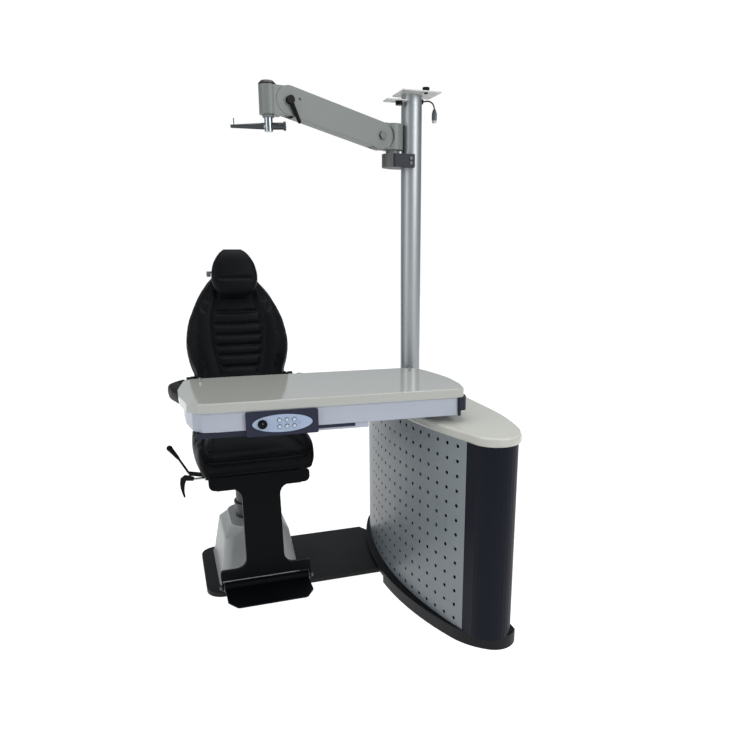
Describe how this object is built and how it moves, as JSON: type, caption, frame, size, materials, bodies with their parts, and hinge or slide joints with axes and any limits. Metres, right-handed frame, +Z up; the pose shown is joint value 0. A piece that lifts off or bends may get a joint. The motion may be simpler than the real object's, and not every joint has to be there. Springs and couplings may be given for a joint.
{
  "type": "ophthalmic examination chair unit",
  "caption": "Ophthalmic refraction unit: lifting, reclining patient chair beside a leaf-shaped cabinet with a pole, swing-away instrument table and a balanced arm for a phoropter",
  "frame": {"origin": "On the floor under the axis of the chair's lift column, at the middle of the foot pad there.", "axes": "+Z up along the pole. +X from the chair towards the cabinet, along the base plate. -Y is the way the seated patient faces."},
  "size_m": [1.0925, 1.232, 1.7963],
  "materials": {
    "charcoal_paint": "satin",
    "grey_shell": "satin",
    "olive_column": "satin",
    "grey_panel": "satin",
    "navy_paint": "satin",
    "beige_slab": "semi-gloss",
    "table_white": "gloss",
    "body_blue_grey": "satin",
    "brushed_pole": "brushed",
    "arm_grey": "satin",
    "black_leather": "soft grain",
    "black_paint": "satin",
    "black_plastic": "matte",
    "chrome": "polished",
    "steel": "brushed",
    "rubber": "matte",
    "fascia": "semi-gloss",
    "white_plate": "satin",
    "key_plastic": "matte"
  },
  "bodies": {
    "base": {"base_plate": "charcoal_paint", "base_pads": "rubber", "pedestal_cover": "grey_shell", "lift_column": "olive_column", "cabinet_plinth": "charcoal_paint", "cabinet_frame": "grey_panel", "perforated_panel": "grey_panel", "nose_panel": "navy_paint", "outer_panel": "grey_panel", "cabinet_top": "beige_slab", "pole": "brushed_pole", "arm_bracket": "navy_paint", "bracket_screws": "steel", "projector_plates": "white_plate", "cable_gland": "black_plastic", "instrument_cable": "rubber", "cable_connector": "steel"},
    "lift": {"lift_tube": "steel"},
    "seat": {"seat_frame": "charcoal_paint", "seat_cushion": "black_leather", "calf_panel": "black_paint", "side_brackets": "steel", "chair_pins": "chrome"},
    "back": {"back_frame": "black_paint", "back_cushion": "black_leather"},
    "headrest": {"headrest_stem": "steel", "head_cushion": "black_leather"},
    "armrest_l": {"armrest_bar_left": "black_paint", "armrest_pad_left": "black_leather"},
    "armrest_r": {"armrest_bar_right": "black_paint", "armrest_pad_right": "black_leather"},
    "footrest": {"footrest_plate": "black_paint"},
    "recline_handle": {"recline_lever": "black_plastic"},
    "brake_handle": {"brake_lever": "black_plastic"},
    "table": {"table_top": "table_white", "table_pins": "chrome", "table_body": "body_blue_grey", "table_hub": "charcoal_paint", "end_bumper": "navy_paint", "under_tray": "table_white", "tray_strip": "navy_paint", "control_box": "navy_paint", "control_face": "fascia"},
    "dial": {"control_knob": "black_plastic"},
    "arm_swivel": {"arm_base": "arm_grey", "arm_bolt": "steel"},
    "arm": {"arm_shell": "arm_grey"},
    "link": {"level_link": "steel"},
    "head": {"head_block": "arm_grey", "head_cap": "black_plastic"},
    "clamp": {"clamp_lever": "black_plastic"},
    "holder": {"phoropter_holder": "chrome"},
    "upper_knob": {"knob_top": "black_plastic"},
    "lower_knob": {"knob_under": "black_plastic"},
    "key_1": {"button_1": "key_plastic"},
    "key_2": {"button_2": "key_plastic"},
    "key_3": {"button_3": "key_plastic"},
    "key_4": {"button_4": "key_plastic"},
    "key_5": {"button_5": "key_plastic"},
    "key_6": {"button_6": "key_plastic"}
  },
  "joints": [
    {"name": "chair_lift", "type": "slide", "parent": "base", "child": "lift", "axis": [0, 0, 1], "range_m": [-0.07, 0.09]},
    {"name": "chair_swivel", "type": "hinge", "parent": "lift", "child": "seat", "pos_m": [0, 0, 0.44], "axis": [0, 0, 1], "range_deg": [-10, 10]},
    {"name": "back_recline", "type": "hinge", "parent": "seat", "child": "back", "pos_m": [0, 0.165, 0.524], "axis": [-1, 0, 0], "range_deg": [0, 50]},
    {"name": "headrest_slide", "type": "slide", "parent": "back", "child": "headrest", "axis": [0, 0.1478, 0.989], "range_m": [0, 0.06]},
    {"name": "armrest_l_flip", "type": "hinge", "parent": "back", "child": "armrest_l", "pos_m": [-0.184, 0.16409, 0.75467], "axis": [-1, 0, 0], "range_deg": [0, 92]},
    {"name": "armrest_r_flip", "type": "hinge", "parent": "back", "child": "armrest_r", "pos_m": [0.184, 0.16409, 0.75467], "axis": [-1, 0, 0], "range_deg": [0, 92]},
    {"name": "footrest_flip", "type": "hinge", "parent": "seat", "child": "footrest", "pos_m": [0, -0.348, 0.108], "axis": [-1, 0, 0], "range_deg": [0, 85]},
    {"name": "recline_lever_pull", "type": "hinge", "parent": "seat", "child": "recline_handle", "pos_m": [-0.182, -0.182, 0.478], "axis": [0, 1, 0], "range_deg": [-12, 10], "stiffness_Nm_per_rad": 6},
    {"name": "brake_lever_pull", "type": "hinge", "parent": "seat", "child": "brake_handle", "pos_m": [-0.172, -0.15, 0.456], "axis": [0, 1, 0], "range_deg": [-12, 12], "stiffness_Nm_per_rad": 6},
    {"name": "table_swing", "type": "hinge", "parent": "base", "child": "table", "pos_m": [0.596, -0.205, 0.724], "axis": [0, 0, 1], "range_deg": [0, 90]},
    {"name": "dial_turn", "type": "hinge", "parent": "table", "child": "dial", "pos_m": [-0.028, -0.63608, 0.767], "axis": [0.0471, 0.9989, 0], "range_deg": [-140, 140]},
    {"name": "key_1_press", "type": "slide", "parent": "table", "child": "key_1", "axis": [0.0471, 0.9989, 0], "range_m": [0, 0.0012], "stiffness_N_per_m": 400},
    {"name": "key_2_press", "type": "slide", "parent": "table", "child": "key_2", "axis": [0.0471, 0.9989, 0], "range_m": [0, 0.0012], "stiffness_N_per_m": 400},
    {"name": "key_3_press", "type": "slide", "parent": "table", "child": "key_3", "axis": [0.0471, 0.9989, 0], "range_m": [0, 0.0012], "stiffness_N_per_m": 400},
    {"name": "key_4_press", "type": "slide", "parent": "table", "child": "key_4", "axis": [0.0471, 0.9989, 0], "range_m": [0, 0.0012], "stiffness_N_per_m": 400},
    {"name": "key_5_press", "type": "slide", "parent": "table", "child": "key_5", "axis": [0.0471, 0.9989, 0], "range_m": [0, 0.0012], "stiffness_N_per_m": 400},
    {"name": "key_6_press", "type": "slide", "parent": "table", "child": "key_6", "axis": [0.0471, 0.9989, 0], "range_m": [0, 0.0012], "stiffness_N_per_m": 400},
    {"name": "arm_swing", "type": "hinge", "parent": "base", "child": "arm_swivel", "pos_m": [0.523, -0.216, 1.586], "axis": [0, 0, 1], "range_deg": [-60, 75]},
    {"name": "arm_tilt", "type": "hinge", "parent": "arm_swivel", "child": "arm", "pos_m": [0.4701, -0.22686, 1.641], "axis": [-0.2011, 0.9796, 0], "range_deg": [-35, 10]},
    {"name": "link_tilt", "type": "hinge", "parent": "arm_swivel", "child": "link", "pos_m": [0.4701, -0.22686, 1.617], "axis": [-0.2011, 0.9796, 0], "range_deg": [-35, 10]},
    {"name": "head_level", "type": "hinge", "parent": "arm", "child": "head", "pos_m": [0.14285, -0.29403, 1.71874], "axis": [-0.2011, 0.9796, 0], "range_deg": [-10, 35]},
    {"name": "clamp_turn", "type": "hinge", "parent": "head", "child": "clamp", "pos_m": [0.14285, -0.29403, 1.71874], "axis": [0.2011, -0.9796, 0], "range_deg": [-30, 30]},
    {"name": "holder_swivel", "type": "hinge", "parent": "head", "child": "holder", "pos_m": [0.08114, -0.3067, 1.71874], "axis": [0, 0, 1], "range_deg": [-80, 80]},
    {"name": "upper_knob_turn", "type": "hinge", "parent": "base", "child": "upper_knob", "pos_m": [0.623, -0.271, 1.78], "axis": [0, 0, 1], "continuous": true},
    {"name": "lower_knob_turn", "type": "hinge", "parent": "base", "child": "lower_knob", "pos_m": [0.542, -0.227, 1.76], "axis": [0, 0, 1], "continuous": true}
  ],
  "couplings": [
    {"joint": "link_tilt", "follows": "arm_tilt", "ratio": 1},
    {"joint": "head_level", "follows": "arm_tilt", "ratio": -1}
  ]
}
